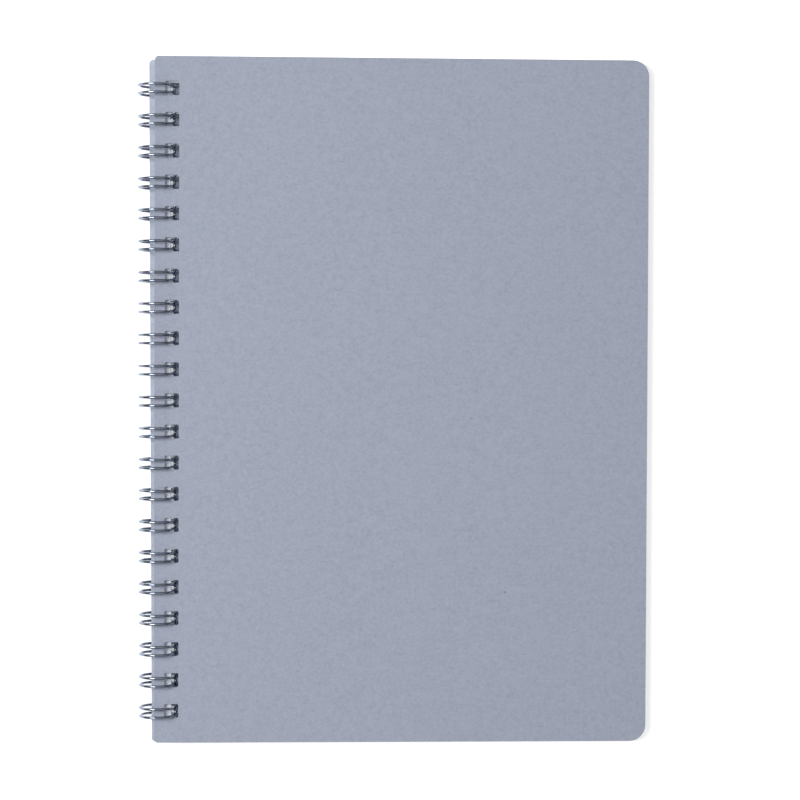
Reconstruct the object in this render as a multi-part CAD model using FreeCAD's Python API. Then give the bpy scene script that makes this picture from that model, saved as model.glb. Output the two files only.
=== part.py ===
import FreeCAD, Part
import math
import os

# A5 notebook held by a twin-loop wire, lying closed on its back. Millimetres, +Z up.
# X runs from the wire to the fore-edge, Y from the tail to the head.
# The pieces are drawn round the centre of the wire's rings and moved to the base centre last.

V = FreeCAD.Vector

# Driving dimensions: covers
cover_width = 151.5
cover_height = 210.0
cover_thickness = 0.6
cover_corner_radius = 5.0
cover_spine_radius = 1.2
front_skew_deg = -0.2
back_skew_deg = 0.1
front_slip = 0.3
back_slip = -0.25

# Driving dimensions: page block
page_width = 148.0
page_height = 209.0
page_corner_radius = 5.0
page_spine_radius = 0.6
block_thickness = 3.3
block_steps = 4

# Driving dimensions: punched holes
loop_pitch = 9.525
least_end_margin = 4.0
hole_size = 4.3
hole_corner_radius = 0.4
spine_margin = 3.15
front_hole_lag = 0.5
back_hole_lag = 1.1
page_hole_lead = 0.9

# Driving dimensions: wire
wire_diameter = 0.85
ring_radius = 5.4
strand_spacing = 2.55
base_bend_radius = 1.25
finger_drop = 1.05
bridge_over_block = 0.45

# Driving dimensions: heights over the ring centre and clearances
block_top = 0.4
back_gap = 0.3
front_gap = 1.1
rest_gap = 0.05

# Driving dimensions: lines that the leaves turn about, from the ring centre
lean_line_x = -1.2
front_hinge_x = -0.6
front_hinge_z = 0.1
back_hinge_x = -1.0
back_hinge_z = -1.5

# Worked-out heights of the leaves at the rings
wire_radius = wire_diameter / 2
floor_level = -(ring_radius + wire_radius)
bridge_level = block_top + bridge_over_block
block_bottom = block_top - block_thickness
back_top = block_bottom - back_gap
back_bottom = back_top - cover_thickness
front_bottom = block_top + front_gap

# As many loops as the shorter leaf has room for
hole_row = min(cover_height, page_height) - 2 * least_end_margin - hole_size
loop_count = int(hole_row / loop_pitch) + 1


def ring_x(level):
    """Where the ring's centreline crosses a height, on the fore-edge side."""
    return math.sqrt(ring_radius ** 2 - level ** 2)


def spine_edge_x(level, lag):
    """Spine edge of a leaf whose hole centres lie the lag short of the ring's centreline."""
    return ring_x(level) - lag - hole_size / 2 - spine_margin


def arc_edge(centre_x, centre_y, radius, start_deg):
    """Quarter circle that turns from start_deg to start_deg + 90 in the XY plane."""
    circle = Part.Circle(V(centre_x, centre_y, 0), V(0, 0, 1), radius)
    return Part.Arc(circle, math.radians(start_deg), math.radians(start_deg + 90)).toShape()


def leaf_outline(width, height, radius, spine_radius):
    """Closed outline from x = 0, round at its two fore-edge corners and slightly at the spine."""
    half = height / 2
    inner_x = width - radius
    inner_y = half - radius
    spine_y = half - spine_radius
    edges = [
        Part.makeLine(V(spine_radius, -half, 0), V(inner_x, -half, 0)),
        arc_edge(inner_x, -inner_y, radius, 270),
        Part.makeLine(V(width, -inner_y, 0), V(width, inner_y, 0)),
        arc_edge(inner_x, inner_y, radius, 0),
        Part.makeLine(V(inner_x, half, 0), V(spine_radius, half, 0)),
        arc_edge(spine_radius, spine_y, spine_radius, 90),
        Part.makeLine(V(0, spine_y, 0), V(0, -spine_y, 0)),
        arc_edge(spine_radius, -spine_y, spine_radius, 180),
    ]
    return Part.Wire(edges)


def hole_outline(centre_x, centre_y, radius):
    """Square hole with slightly rounded corners."""
    half = hole_size / 2
    inner = half - radius
    edges = []
    corners = [(1, 1, 0), (-1, 1, 90), (-1, -1, 180), (1, -1, 270)]
    for index, (sign_x, sign_y, start_deg) in enumerate(corners):
        edges.append(arc_edge(centre_x + sign_x * inner, centre_y + sign_y * inner, radius, start_deg))
        next_x, next_y, next_deg = corners[(index + 1) % 4]
        leave = math.radians(start_deg + 90)
        enter = math.radians(next_deg)
        edges.append(Part.makeLine(
            V(centre_x + sign_x * inner + radius * math.cos(leave),
              centre_y + sign_y * inner + radius * math.sin(leave), 0),
            V(centre_x + next_x * inner + radius * math.cos(enter),
              centre_y + next_y * inner + radius * math.sin(enter), 0)))
    return Part.Wire(edges)


def loop_places():
    """Y of each loop's middle, from the tail to the head."""
    first = -loop_pitch * (loop_count - 1) / 2
    return [first + loop_pitch * index for index in range(loop_count)]


def punched_leaf(width, height, corner_radius, spine_radius, slip):
    """Flat face of a leaf with its row of holes, slipped a little up or down the wire."""
    hole_x = spine_margin + hole_size / 2
    wires = [leaf_outline(width, height, corner_radius, spine_radius)]
    wires += [hole_outline(hole_x, place, hole_corner_radius) for place in loop_places()]
    face = Part.Face(wires, "Part::FaceMakerBullseye")
    face.translate(V(0, slip, 0))
    return face


def lean(shape, angle_deg):
    """Lowers the fore-edge by turning the shape about a line inside the rings."""
    shape.rotate(V(lean_line_x, 0, 0), V(0, 1, 0), angle_deg)
    return shape


def make_cover(bottom, hole_lag, slip, skew_deg, lean_deg):
    """One cover at its height on the rings, slightly askew in plan, resting at its fore-edge."""
    middle = bottom + cover_thickness / 2
    leaf = punched_leaf(cover_width, cover_height, cover_corner_radius, cover_spine_radius, slip)
    cover = leaf.extrude(V(0, 0, cover_thickness))
    cover.translate(V(spine_edge_x(middle, hole_lag), 0, bottom))
    hole_x = ring_x(middle) - hole_lag
    cover.rotate(V(hole_x, 0, 0), V(0, 0, 1), skew_deg)
    return lean(cover, lean_deg)


def make_page_block(lean_deg):
    """All the sheets as one solid that leans with the rings, in a few slanted layers."""
    leaf = punched_leaf(page_width, page_height, page_corner_radius, page_spine_radius, 0)
    step = block_thickness / block_steps
    layers = []
    for index in range(block_steps):
        low = block_bottom + step * index
        low_x = spine_edge_x(low, -page_hole_lead)
        high_x = spine_edge_x(low + step, -page_hole_lead)
        layer = leaf.copy()
        layer.translate(V(low_x, 0, low))
        layers.append(layer.extrude(V(high_x - low_x, 0, step)))
    block = layers[0].fuse(layers[1:])
    return lean(block, lean_deg)


class WireWalk:
    """Sweeps the wire's round section along straight runs and flat bends."""

    def __init__(self, point, direction):
        self.point = point
        self.section = Part.Edge(Part.Circle(point, direction, wire_radius))
        self.faces = [Part.Face(Part.Wire([self.section]))]

    def bend(self, centre, axis, angle_deg):
        self.faces.append(self.section.revolve(centre, axis, angle_deg))
        self.section = self.section.copy()
        self.section.rotate(centre, axis, angle_deg)
        turn = FreeCAD.Rotation(axis, angle_deg)
        self.point = centre + turn.multVec(self.point - centre)

    def run(self, step):
        self.faces.append(self.section.extrude(step))
        self.section = self.section.copy()
        self.section.translate(step)
        self.point = self.point + step

    def solid(self):
        self.faces.append(Part.Face(Part.Wire([self.section])))
        shell = Part.makeShell(self.faces)
        shell.sewShape()
        solid = Part.makeSolid(Part.Shell(shell.Faces))
        if solid.Volume < 0:
            solid.reverse()
        return solid


def tangent(angle):
    """Upward direction along the ring at an angle over the horizontal."""
    return V(-math.sin(angle), 0, math.cos(angle))


def make_wire():
    """One wire: fingers that hang from above, strands round the rings, bridges between the loops."""
    along = V(0, 1, 0)
    half_spacing = strand_spacing / 2
    reach = math.hypot(ring_radius, base_bend_radius)
    base_angle = math.asin(bridge_level / reach) - math.atan2(base_bend_radius, ring_radius)
    tip_angle = base_angle + (finger_drop + half_spacing) / ring_radius
    strand_deg = 360 - math.degrees(tip_angle - base_angle)
    base_up = tangent(base_angle)
    tip_down = tangent(tip_angle) * -1
    bridge_length = loop_pitch - strand_spacing - 2 * base_bend_radius

    places = loop_places()
    start = V(ring_radius * math.cos(base_angle), places[0] - half_spacing, ring_radius * math.sin(base_angle))
    walk = WireWalk(start, base_up)
    for index, place in enumerate(places):
        ring_centre = V(0, place, 0)
        walk.bend(ring_centre, along, strand_deg)
        walk.bend(walk.point + along * half_spacing, tip_down.cross(along), 180)
        walk.bend(ring_centre, along, -strand_deg)
        if index < loop_count - 1:
            walk.bend(walk.point + along * base_bend_radius, base_up.cross(along), 90)
            walk.run(along * bridge_length)
            walk.bend(walk.point - base_up * base_bend_radius, along.cross(base_up * -1), 90)
    return walk.solid()


def lean_to_floor():
    """Lean of the back cover that brings its fore-edge down to the rings' lowest point."""
    middle = back_bottom + cover_thickness / 2
    span = spine_edge_x(middle, back_hole_lag) + cover_width - lean_line_x
    reach = math.hypot(span, back_bottom)
    return math.degrees(math.asin(-floor_level / reach) - math.atan2(-back_bottom, span))


page_span = spine_edge_x(block_bottom, -page_hole_lead) + page_width - lean_line_x
back_lean_deg = lean_to_floor()
page_lean_deg = back_lean_deg + math.degrees(math.asin((back_gap - rest_gap) / page_span))
front_lean_deg = page_lean_deg + math.degrees(math.asin((front_gap - rest_gap) / page_span))

nodes = {
    "front_cover": make_cover(front_bottom, front_hole_lag, front_slip, front_skew_deg, front_lean_deg),
    "page_block": make_page_block(page_lean_deg),
    "back_cover": make_cover(back_bottom, back_hole_lag, back_slip, back_skew_deg, back_lean_deg),
    "twin_loop_wire": make_wire(),
}

# The base centre of the whole notebook becomes the origin
bounds = Part.makeCompound(list(nodes.values())).optimalBoundingBox(False)
to_base = V(-(bounds.XMin + bounds.XMax) / 2, -(bounds.YMin + bounds.YMax) / 2, -bounds.ZMin)

os.makedirs("parts", exist_ok=True)
for name, shape in nodes.items():
    shape.translate(to_base)
    shape.exportStep(f"parts/{name}.step")
    print(name, "solids", len(shape.Solids), "valid", shape.isValid(), "mm3", round(shape.Volume, 2))

print("size", round(bounds.XLength, 4), round(bounds.YLength, 4), round(bounds.ZLength, 4))
print("ring centre", [round(value, 5) for value in to_base])
print("front hinge", [round(value, 5) for value in V(front_hinge_x, 0, front_hinge_z) + to_base])
print("back hinge", [round(value, 5) for value in V(back_hinge_x, 0, back_hinge_z) + to_base])
tail_x = spine_edge_x(block_top - block_thickness / 2, -page_hole_lead) + page_width / 2
tail = lean(Part.Vertex(tail_x, -page_height / 2, block_top - block_thickness / 2), page_lean_deg).Point
print("loops", loop_count, "tail edge middle", [round(value, 5) for value in tail + to_base])
print("leans", round(back_lean_deg, 4), round(page_lean_deg, 4), round(front_lean_deg, 4))
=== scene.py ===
import math
import random

import bmesh
import bpy
from mathutils import Matrix, Vector


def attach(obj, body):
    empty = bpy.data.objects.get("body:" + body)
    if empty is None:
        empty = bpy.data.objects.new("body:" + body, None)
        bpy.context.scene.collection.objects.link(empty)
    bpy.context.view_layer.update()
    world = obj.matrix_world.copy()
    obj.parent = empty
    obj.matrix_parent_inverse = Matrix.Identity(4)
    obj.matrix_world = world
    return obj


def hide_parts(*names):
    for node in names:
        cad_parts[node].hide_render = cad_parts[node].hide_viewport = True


# A5 notebook on a twin-loop wire, lying closed, seen from straight above. Metres.
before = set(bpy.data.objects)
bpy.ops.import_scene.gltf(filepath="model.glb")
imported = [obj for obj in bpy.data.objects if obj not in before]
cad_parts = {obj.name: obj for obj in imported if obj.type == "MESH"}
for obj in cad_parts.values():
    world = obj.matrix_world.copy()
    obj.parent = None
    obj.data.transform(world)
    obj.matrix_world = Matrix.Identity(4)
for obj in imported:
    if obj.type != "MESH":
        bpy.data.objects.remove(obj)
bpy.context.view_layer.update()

MM = 0.001

# Loops and wire, as constructed
LOOP_COUNT = 21
LOOP_PITCH = 9.525 * MM
RING_RADIUS = 5.4 * MM
WIRE_RADIUS = 0.425 * MM
STRAND_SPACING = 2.55 * MM
BASE_BEND = 1.25 * MM
FINGER_DROP = 1.05 * MM
BRIDGE_LEVEL = 0.85 * MM
RING_CENTRE = Vector((-72.66227, -0.02834, 5.82735)) * MM

# Pages, as constructed
HOLE_SIZE = 4.3 * MM
SPINE_MARGIN = 3.15 * MM
PAGE_HOLE_LEAD = 0.9 * MM
LEAN_LINE_X = -1.2 * MM
PAGE_WIDTH = 148.0 * MM
PAGE_HEIGHT = 209.0 * MM
PAGE_CORNER = 5.0 * MM
PAGE_SPINE_CORNER = 0.6 * MM
BLOCK_TOP = 0.4 * MM
BLOCK_THICKNESS = 3.3 * MM
PAGE_LEAN = math.radians(0.8674)

# Sheets as the eye sees them: thin gaps between them, each shuffled by half of this either way
SHEET_COUNT = 36
SHEET_GAP_SHARE = 0.16
SHEET_SHUFFLE = 0.10 * MM
SHUFFLE_SEED = 7
CORNER_STEPS = 5
SAME_POINT = 1e-7

# Wire as the eye sees it: its strands draw together over the last of the ring, towards the finger
FINGER_TAPER = math.radians(42)
FINGER_DRAW = 0.24
WIRE_SIDES = 14
HALF_RING_STEPS = 22
FINGER_STEPS = 16
BASE_BEND_STEPS = 8

# Softened rims of the punched covers
CUT_EDGE_WIDTH = 0.14 * MM
CUT_EDGE_SEGMENTS = 2
CUT_EDGE_LEAST_ANGLE = math.radians(50)

# Ground, which glows a little for the eye so that it shows white, and still takes the shadow
FLOOR_SIZE = 2.4
FLOOR_LEVEL = -0.1 * MM
FLOOR_COLOUR = (0.92, 0.92, 0.92, 1.0)
FLOOR_ROUGHNESS = 0.9
FLOOR_GLOW = 0.5

# One soft lamp high on the left, and a sky that is dark near the horizon and light overhead
KEY_PLACE = (-0.53, 0.12, 0.90)
KEY_SIZE = (0.28, 0.50)
KEY_POWER = 7.1
SKY_LOW, SKY_HIGH = 0.2, 0.9
SKY_DIM, SKY_BRIGHT = 0.08, 0.60
WHITE = (1.0, 1.0, 1.0, 1.0)

# Camera fitted to the photograph's frame of 800 pixels
CAMERA_PLACE = Vector((-12.824, 14.059, 676.966)) * MM
CAMERA_TURN_DEG = (-1.17106, -1.24662, 0.02132)
CAMERA_LENS = 98.3535
SENSOR_WIDTH = 36.0
NEAREST, FURTHEST = 0.01, 10.0


def node_tree(name):
    """New material with an empty tree, its output and its surface shader."""
    material = bpy.data.materials.new(name)
    material.use_nodes = True
    tree = material.node_tree
    tree.nodes.clear()
    output = tree.nodes.new("ShaderNodeOutputMaterial")
    shader = tree.nodes.new("ShaderNodeBsdfPrincipled")
    tree.links.new(shader.outputs["BSDF"], output.inputs["Surface"])
    return material, tree, shader


def object_place(tree):
    """Coordinates in metres that stay with the object."""
    return tree.nodes.new("ShaderNodeTexCoord").outputs["Object"]


def noise(tree, place, scale, detail, roughness=0.5, distortion=0.0):
    """Soft noise, its scale in waves per metre."""
    node = tree.nodes.new("ShaderNodeTexNoise")
    node.inputs["Scale"].default_value = scale
    node.inputs["Detail"].default_value = detail
    node.inputs["Roughness"].default_value = roughness
    node.inputs["Distortion"].default_value = distortion
    tree.links.new(place, node.inputs["Vector"])
    return node.outputs["Fac"]


def remap(tree, value, low, high, to_low, to_high):
    """The value carried from one range to another and held at its ends."""
    node = tree.nodes.new("ShaderNodeMapRange")
    node.inputs["From Min"].default_value = low
    node.inputs["From Max"].default_value = high
    node.inputs["To Min"].default_value = to_low
    node.inputs["To Max"].default_value = to_high
    tree.links.new(value, node.inputs["Value"])
    return node.outputs["Result"]


def math_node(tree, operation, first, second):
    """Two numbers or sockets put through one operation."""
    node = tree.nodes.new("ShaderNodeMath")
    node.operation = operation
    for socket, value in zip(node.inputs, (first, second)):
        if isinstance(value, (int, float)):
            socket.default_value = value
        else:
            tree.links.new(value, socket)
    return node.outputs["Value"]


def mix_colour(tree, share, first, second):
    """The first colour at share 0, the second at share 1."""
    node = tree.nodes.new("ShaderNodeMix")
    node.data_type = "RGBA"
    for socket, value in ((node.inputs[0], share), (node.inputs[6], first), (node.inputs[7], second)):
        if isinstance(value, (float, tuple)):
            socket.default_value = value
        else:
            tree.links.new(value, socket)
    return node.outputs[2]


def stretched(tree, place, turn, scale):
    """The place turned about Z and stretched, for fibres that lie one way."""
    node = tree.nodes.new("ShaderNodeMapping")
    node.inputs["Rotation"].default_value = (0.0, 0.0, turn)
    node.inputs["Scale"].default_value = scale
    tree.links.new(place, node.inputs["Vector"])
    return node.outputs["Vector"]


def bump(tree, shader, height, distance, strength):
    """Fine relief from a height socket."""
    node = tree.nodes.new("ShaderNodeBump")
    node.inputs["Strength"].default_value = strength
    node.inputs["Distance"].default_value = distance
    tree.links.new(height, node.inputs["Height"])
    tree.links.new(node.outputs["Normal"], shader.inputs["Normal"])


def fibre_mask(tree, place, turn, density, low, high):
    """Short thin fibres lying near one direction: 1 on a fibre, 0 between."""
    along = stretched(tree, place, turn, FIBRE_STRETCH)
    fibres = noise(tree, along, density, detail=1.0, roughness=0.4, distortion=0.6)
    return remap(tree, fibres, low, high, 0.0, 1.0)


def laid_over(tree, colour, layer, value, low, high, most):
    """A layer's colour laid over another where the value is high, up to a greatest share."""
    return mix_colour(tree, remap(tree, value, low, high, 0.0, most), colour, layer)


def linear(red, green, blue):
    """A colour read as 0 to 255 display values, for a shader socket."""
    parts = []
    for value in (red, green, blue):
        share = value / 255
        parts.append(share / 12.92 if share <= 0.04045 else ((share + 0.055) / 1.055) ** 2.4)
    return (*parts, 1.0)


CARD_BASE = linear(159, 165, 181)
CARD_LIGHT = linear(172, 179, 196)
CARD_DARK = linear(136, 142, 158)
# Paler inside of the card: painted light, for the light that the strip of it along the spine edge
# catches from the left lamp
CARD_INSIDE_PAINTED_LIGHT = linear(196, 204, 217)
CARD_SPECK = linear(84, 88, 100)
PAPER_DARK = linear(224, 229, 238)
PAPER_LIGHT = linear(230, 234, 241)
# Greyer cut edges of the paper: partly their own duller tone, partly painted shade between the stacked
# sheets
PAPER_EDGE_TONE_AND_SHADE = linear(213, 220, 232)
WIRE_DARK = linear(132, 140, 156)
WIRE_LIGHT = linear(154, 162, 177)

# Fibres of the card: directions in radians with their waves per metre
FIBRE_TURNS_AND_DENSITIES = ((0.35, 260.0), (1.55, 300.0), (2.45, 240.0))
FIBRE_STRETCH = (1.0, 9.0, 1.0)

# Specks of the card: cells per metre, size in cells, least noise that holds one, strength
SPECKS = ((95.0, 0.036, 0.58, 0.60), (190.0, 0.050, 0.50, 0.30))


def upward_share(tree):
    """1 where a face looks up or down in the object's own frame, 0 on its cut edges."""
    parts = tree.nodes.new("ShaderNodeSeparateXYZ")
    tree.links.new(tree.nodes.new("ShaderNodeTexCoord").outputs["Normal"], parts.inputs["Vector"])
    return parts.outputs["Z"]


def recycled_card(name, outside_sign):
    """Blue-grey recycled card: clouds, grain, pale and dark fibres, a few specks, and an inside face
    painted paler, as painted light for the lit strip of it along the spine edge.
    """
    material, tree, shader = node_tree(name)
    place = object_place(tree)
    inside_painted_light = math_node(tree, "MULTIPLY", upward_share(tree), -outside_sign)
    clouds = noise(tree, place, 34.0, detail=3.0, roughness=0.55)
    grain = noise(tree, place, 1150.0, detail=3.0, roughness=0.6)
    mottle = noise(tree, place, 420.0, detail=4.0, roughness=0.65)
    # Inside faces painted paler: painted light standing in for the lit strip along the spine edge
    colour = laid_over(tree, CARD_BASE, CARD_INSIDE_PAINTED_LIGHT, inside_painted_light, -0.2, 0.5, most=1.0)
    colour = laid_over(tree, colour, CARD_LIGHT, clouds, 0.36, 0.64, most=0.10)
    colour = laid_over(tree, colour, CARD_DARK, mottle, 0.36, 0.66, most=0.30)
    colour = laid_over(tree, colour, CARD_LIGHT, grain, 0.34, 0.68, most=0.60)
    for turn, density in FIBRE_TURNS_AND_DENSITIES:
        pale = fibre_mask(tree, place, turn, density, 0.70, 0.76)
        colour = mix_colour(tree, math_node(tree, "MULTIPLY", pale, 0.30), colour, CARD_LIGHT)
        deep = fibre_mask(tree, place, turn + 0.7, density * 1.15, 0.735, 0.775)
        colour = mix_colour(tree, math_node(tree, "MULTIPLY", deep, 0.40), colour, CARD_DARK)
    for cells_per_metre, size, low, strength in SPECKS:
        cells = tree.nodes.new("ShaderNodeTexVoronoi")
        cells.inputs["Scale"].default_value = cells_per_metre
        tree.links.new(place, cells.inputs["Vector"])
        spot = remap(tree, cells.outputs["Distance"], size * 0.5, size, 1.0, 0.0)
        patches = noise(tree, place, cells_per_metre * 0.45, detail=0.0)
        few = remap(tree, patches, low, low + 0.05, 0.0, 1.0)
        specks = math_node(tree, "MULTIPLY", math_node(tree, "MULTIPLY", spot, few), strength)
        colour = mix_colour(tree, specks, colour, CARD_SPECK)
    tree.links.new(colour, shader.inputs["Base Color"])
    tree.links.new(remap(tree, mottle, 0.3, 0.7, 0.70, 0.82), shader.inputs["Roughness"])
    shader.inputs["Specular IOR Level"].default_value = 0.28
    surface = math_node(tree, "ADD", math_node(tree, "MULTIPLY", grain, 0.6), mottle)
    bump(tree, shader, surface, distance=0.06 * MM, strength=0.55)
    return material


def sheet_paper(name):
    """Uncoated white paper with a faint tooth; its cut edges are painted greyer, partly their own
    duller tone and partly painted shade between the stacked sheets.
    """
    material, tree, shader = node_tree(name)
    place = object_place(tree)
    tooth = noise(tree, place, 1300.0, detail=3.0, roughness=0.6)
    cloud = noise(tree, place, 240.0, detail=4.0, roughness=0.6)
    page = laid_over(tree, PAPER_DARK, PAPER_LIGHT, cloud, 0.3, 0.7, most=1.0)
    flat = math_node(tree, "ABSOLUTE", upward_share(tree), 0.0)
    # Cut edges painted greyer: partly the paper's own edge tone, partly painted shade between the
    # sheets
    colour = laid_over(tree, PAPER_EDGE_TONE_AND_SHADE, page, flat, 0.2, 0.7, most=1.0)
    tree.links.new(colour, shader.inputs["Base Color"])
    tree.links.new(remap(tree, tooth, 0.3, 0.7, 0.78, 0.90), shader.inputs["Roughness"])
    shader.inputs["Specular IOR Level"].default_value = 0.25
    bump(tree, shader, tooth, distance=0.03 * MM, strength=0.5)
    return material


def drawn_wire(name):
    """Bright drawn wire with a slightly uneven shine."""
    material, tree, shader = node_tree(name)
    place = object_place(tree)
    wear = noise(tree, place, 420.0, detail=3.0, roughness=0.6)
    patches = noise(tree, place, 120.0, detail=2.0)
    colour = laid_over(tree, WIRE_DARK, WIRE_LIGHT, patches, 0.35, 0.65, most=1.0)
    tree.links.new(colour, shader.inputs["Base Color"])
    shader.inputs["Metallic"].default_value = 1.0
    tree.links.new(remap(tree, wear, 0.3, 0.7, 0.08, 0.18), shader.inputs["Roughness"])
    bump(tree, shader, wear, distance=0.01 * MM, strength=0.35)
    return material


def lean_place(point):
    """A point drawn round the ring centre, leaned with the pages and put in place."""
    pivot = Vector((LEAN_LINE_X, 0.0, 0.0))
    return Matrix.Rotation(PAGE_LEAN, 3, "Y") @ (point - pivot) + pivot + RING_CENTRE


def loop_places():
    """Y of each loop's middle, from the tail to the head."""
    first = -LOOP_PITCH * (LOOP_COUNT - 1) / 2
    return [first + LOOP_PITCH * index for index in range(LOOP_COUNT)]


def hole_centre_x(level):
    """Middle of a sheet's holes at a height, from the ring centre."""
    return math.sqrt(RING_RADIUS ** 2 - level ** 2) + PAGE_HOLE_LEAD


def sheet_rings(width, height):
    """Plan outline of a sheet and of its holes, its spine edge on x = 0."""
    half = height / 2
    corners = (
        (PAGE_SPINE_CORNER, -1, PAGE_SPINE_CORNER, 180),
        (width - PAGE_CORNER, -1, PAGE_CORNER, 270),
        (width - PAGE_CORNER, 1, PAGE_CORNER, 0),
        (PAGE_SPINE_CORNER, 1, PAGE_SPINE_CORNER, 90),
    )
    outline = []
    for centre_x, sign_y, radius, start_deg in corners:
        centre_y = sign_y * (half - radius)
        for step in range(CORNER_STEPS + 1):
            angle = math.radians(start_deg + 90 * step / CORNER_STEPS)
            outline.append((centre_x + radius * math.cos(angle), centre_y + radius * math.sin(angle)))
    centre_x = SPINE_MARGIN + HOLE_SIZE / 2
    reach = HOLE_SIZE / 2
    holes = []
    for place in loop_places():
        holes.append([(centre_x - reach, place - reach), (centre_x + reach, place - reach),
                      (centre_x + reach, place + reach), (centre_x - reach, place + reach)])
    return outline, holes


def sheet_template(width, height):
    """Flat mesh of one punched sheet, its spine edge on x = 0."""
    curve = bpy.data.curves.new("sheet_template", "CURVE")
    curve.dimensions = "2D"
    curve.fill_mode = "BOTH"
    outline, holes = sheet_rings(width, height)
    for ring in [outline, *holes]:
        spline = curve.splines.new("POLY")
        spline.points.add(len(ring) - 1)
        for point, (x, y) in zip(spline.points, ring):
            point.co = (x, y, 0.0, 1.0)
        spline.use_cyclic_u = True
    holder = bpy.data.objects.new("sheet_template", curve)
    bpy.context.scene.collection.objects.link(holder)
    bpy.context.view_layer.update()
    graph = bpy.context.evaluated_depsgraph_get()
    mesh = bpy.data.meshes.new_from_object(holder.evaluated_get(graph))
    bpy.data.objects.remove(holder)
    return mesh


def build_sheets(material):
    """Every sheet as its own thin slab, shuffled a little along the rings."""
    template = sheet_template(PAGE_WIDTH, PAGE_HEIGHT)
    pitch = BLOCK_THICKNESS / SHEET_COUNT
    thickness = pitch * (1 - SHEET_GAP_SHARE)
    shuffle = random.Random(SHUFFLE_SEED)
    whole = bmesh.new()
    for index in range(SHEET_COUNT):
        low = BLOCK_TOP - BLOCK_THICKNESS + pitch * index
        middle = low + pitch / 2
        edge_x = hole_centre_x(middle) - HOLE_SIZE / 2 - SPINE_MARGIN
        inner = 0 < index < SHEET_COUNT - 1
        shift_x = shuffle.uniform(-0.5, 0.5) * SHEET_SHUFFLE if inner else 0.0
        shift_y = shuffle.uniform(-0.5, 0.5) * SHEET_SHUFFLE if inner else 0.0
        sheet = bmesh.new()
        sheet.from_mesh(template)
        bmesh.ops.remove_doubles(sheet, verts=sheet.verts, dist=SAME_POINT)
        bmesh.ops.recalc_face_normals(sheet, faces=sheet.faces)
        raised = bmesh.ops.extrude_face_region(sheet, geom=sheet.faces[:])
        top = [item for item in raised["geom"] if isinstance(item, bmesh.types.BMVert)]
        bmesh.ops.translate(sheet, verts=top, vec=(0.0, 0.0, thickness))
        bmesh.ops.recalc_face_normals(sheet, faces=sheet.faces)
        for vertex in sheet.verts:
            vertex.co = lean_place(vertex.co + Vector((edge_x + shift_x, shift_y, low)))
        single = bpy.data.meshes.new("sheet")
        sheet.to_mesh(single)
        sheet.free()
        whole.from_mesh(single)
        bpy.data.meshes.remove(single)
    mesh = bpy.data.meshes.new("sheets")
    whole.to_mesh(mesh)
    whole.free()
    bpy.data.meshes.remove(template)
    piece = bpy.data.objects.new("sheets", mesh)
    bpy.context.scene.collection.objects.link(piece)
    mesh.materials.append(material)
    return piece


def wire_angles():
    """Angles over the horizontal at which a strand leaves its bridge and ends at its finger."""
    reach = math.hypot(RING_RADIUS, BASE_BEND)
    base = math.asin(BRIDGE_LEVEL / reach) - math.atan2(BASE_BEND, RING_RADIUS)
    tip = base + (FINGER_DROP + STRAND_SPACING / 2) / RING_RADIUS
    return base, tip


def turned(point, centre, axis, angle):
    """A point turned about an axis through a centre."""
    return Matrix.Rotation(angle, 3, axis) @ (point - centre) + centre


def drawn_together(spot, place, tip):
    """Brings a strand's point nearer its loop's middle as it comes down to the finger."""
    share = 1 - (math.atan2(spot.z, spot.x) - tip) / FINGER_TAPER
    if spot.x > 0 and share > 0:
        drawn = 1 - FINGER_DRAW * min(share, 1.0) ** 2
        return Vector((spot.x, place + (spot.y - place) * drawn, spot.z))
    return spot


def wire_path():
    """Points along the whole wire, close together in its tight bends."""
    base, tip = wire_angles()
    strand = 2 * math.pi - (tip - base)
    along = Vector((0.0, 1.0, 0.0))
    base_up = Vector((-math.sin(base), 0.0, math.cos(base)))
    tip_down = Vector((math.sin(tip), 0.0, -math.cos(tip)))
    places = loop_places()
    first_y = places[0] - STRAND_SPACING / 2
    path = [Vector((RING_RADIUS * math.cos(base), first_y, RING_RADIUS * math.sin(base)))]
    bridge = LOOP_PITCH - STRAND_SPACING - 2 * BASE_BEND

    def bend(centre, axis, angle, steps):
        start = path[-1].copy()
        path.extend(turned(start, centre, axis, angle * (step + 1) / steps) for step in range(steps))

    for index, place in enumerate(places):
        ring_centre = Vector((0.0, place, 0.0))
        foot = len(path)
        bend(ring_centre, along, strand, 2 * HALF_RING_STEPS)
        bend(path[-1] + along * STRAND_SPACING / 2, tip_down.cross(along), math.pi, FINGER_STEPS)
        bend(ring_centre, along, -strand, 2 * HALF_RING_STEPS)
        for step in range(foot + HALF_RING_STEPS, len(path) - HALF_RING_STEPS):
            path[step] = drawn_together(path[step], place, tip)
        if index < LOOP_COUNT - 1:
            bend(path[-1] + along * BASE_BEND, base_up.cross(along), math.pi / 2, BASE_BEND_STEPS)
            path.append(path[-1] + along * bridge)
            bend(path[-1] - base_up * BASE_BEND, along.cross(-base_up), math.pi / 2, BASE_BEND_STEPS)
    return [spot + RING_CENTRE for spot in path]


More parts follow.
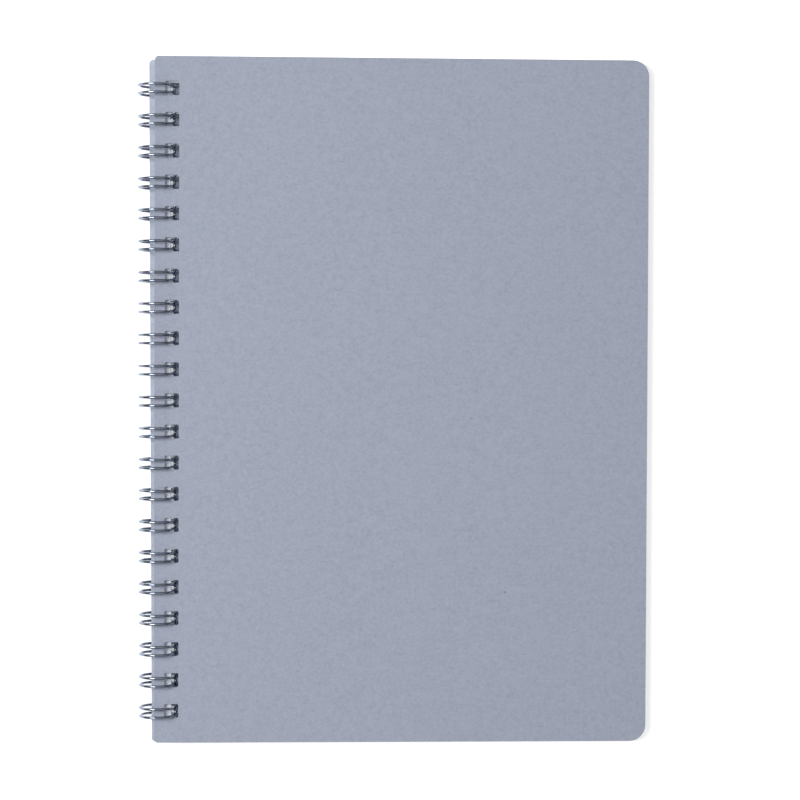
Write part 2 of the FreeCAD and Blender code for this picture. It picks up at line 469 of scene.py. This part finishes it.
def build_wire(material):
    """Round tube along the wire's path, its section carried along without twisting."""
    sides = WIRE_SIDES
    path = wire_path()
    mesh = bpy.data.meshes.new("wire_tube")
    vertices = []
    faces = []
    heading = (path[1] - path[0]).normalized()
    side = heading.cross(Vector((0.0, 1.0, 0.0))).normalized()
    for index, spot in enumerate(path):
        before = path[max(index - 1, 0)]
        after = path[min(index + 1, len(path) - 1)]
        heading = (after - before).normalized()
        side = (side - heading * side.dot(heading)).normalized()
        across = heading.cross(side)
        for step in range(sides):
            angle = 2 * math.pi * step / sides
            vertices.append(spot + (side * math.cos(angle) + across * math.sin(angle)) * WIRE_RADIUS)
    for index in range(len(path) - 1):
        for step in range(sides):
            following = (step + 1) % sides
            near = index * sides
            far = near + sides
            faces.append((near + step, near + following, far + following, far + step))
    faces.append(tuple(reversed(range(sides))))
    faces.append(tuple(range(len(vertices) - sides, len(vertices))))
    mesh.from_pydata([tuple(vertex) for vertex in vertices], [], faces)
    mesh.polygons.foreach_set("use_smooth", [True] * (len(faces) - 2) + [False, False])
    mesh.update()
    mesh.materials.append(material)
    piece = bpy.data.objects.new("wire_tube", mesh)
    bpy.context.scene.collection.objects.link(piece)
    return piece


def finish_cover(node, material):
    """Gives a cover its card and softens its cut edges."""
    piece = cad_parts[node]
    piece.data.materials.clear()
    piece.data.materials.append(material)
    soften = piece.modifiers.new("cut_edge", "BEVEL")
    soften.width = CUT_EDGE_WIDTH
    soften.segments = CUT_EDGE_SEGMENTS
    soften.limit_method = "ANGLE"
    soften.angle_limit = CUT_EDGE_LEAST_ANGLE


def build_floor():
    """White ground that keeps the shadow and shows pure white elsewhere."""
    bpy.ops.mesh.primitive_plane_add(size=FLOOR_SIZE, location=(0.0, 0.0, FLOOR_LEVEL))
    floor = bpy.context.object
    floor.name = "floor"
    material, tree, shader = node_tree("white_ground")
    shader.inputs["Base Color"].default_value = FLOOR_COLOUR
    shader.inputs["Roughness"].default_value = FLOOR_ROUGHNESS
    shader.inputs["Emission Color"].default_value = WHITE
    rays = tree.nodes.new("ShaderNodeLightPath")
    seen = math_node(tree, "MAXIMUM", rays.outputs["Is Camera Ray"], rays.outputs["Is Glossy Ray"])
    seen = math_node(tree, "MAXIMUM", seen, rays.outputs["Is Transmission Ray"])
    tree.links.new(math_node(tree, "MULTIPLY", seen, FLOOR_GLOW), shader.inputs["Emission Strength"])
    floor.data.materials.append(material)


def build_key_light():
    """Rectangular lamp that looks at the middle of the notebook."""
    data = bpy.data.lights.new("key_left", "AREA")
    data.shape = "RECTANGLE"
    data.size, data.size_y = KEY_SIZE
    data.energy = KEY_POWER
    lamp = bpy.data.objects.new("key_left", data)
    lamp.location = KEY_PLACE
    lamp.rotation_euler = (-Vector(KEY_PLACE)).to_track_quat("-Z", "Y").to_euler()
    bpy.context.scene.collection.objects.link(lamp)


def build_sky():
    """White sky, bright overhead and dim near the horizon, and plain white where it is seen itself."""
    world = bpy.data.worlds.new("studio")
    world.use_nodes = True
    tree = world.node_tree
    background = tree.nodes["Background"]
    background.inputs["Color"].default_value = WHITE
    parts = tree.nodes.new("ShaderNodeSeparateXYZ")
    tree.links.new(tree.nodes.new("ShaderNodeTexCoord").outputs["Generated"], parts.inputs["Vector"])
    glow = remap(tree, parts.outputs["Z"], SKY_LOW, SKY_HIGH, SKY_DIM, SKY_BRIGHT)
    seen = tree.nodes.new("ShaderNodeLightPath").outputs["Is Camera Ray"]
    tree.links.new(math_node(tree, "MAXIMUM", glow, seen), background.inputs["Strength"])
    bpy.context.scene.world = world


def build_camera():
    """Camera nearly straight above, where the photograph was taken from."""
    data = bpy.data.cameras.new("camera")
    data.sensor_width = SENSOR_WIDTH
    data.lens = CAMERA_LENS
    data.clip_start = NEAREST
    data.clip_end = FURTHEST
    camera = bpy.data.objects.new("camera", data)
    camera.location = CAMERA_PLACE
    camera.rotation_euler = [math.radians(angle) for angle in CAMERA_TURN_DEG]
    bpy.context.scene.collection.objects.link(camera)
    bpy.context.scene.camera = camera


bpy.context.scene.view_settings.view_transform = "Standard"

# The front cover's outside looks up, the back cover's down
front_card = recycled_card("front_card", 1.0)
back_card = recycled_card("back_card", -1.0)
paper = sheet_paper("sheet_paper")
metal = drawn_wire("drawn_wire")

finish_cover("front_cover", front_card)
finish_cover("back_cover", back_card)

sheets = build_sheets(paper)
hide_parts("page_block")
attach(sheets, "block")

wire = build_wire(metal)
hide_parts("twin_loop_wire")
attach(wire, "block")

build_floor()
build_key_light()
build_sky()
build_camera()
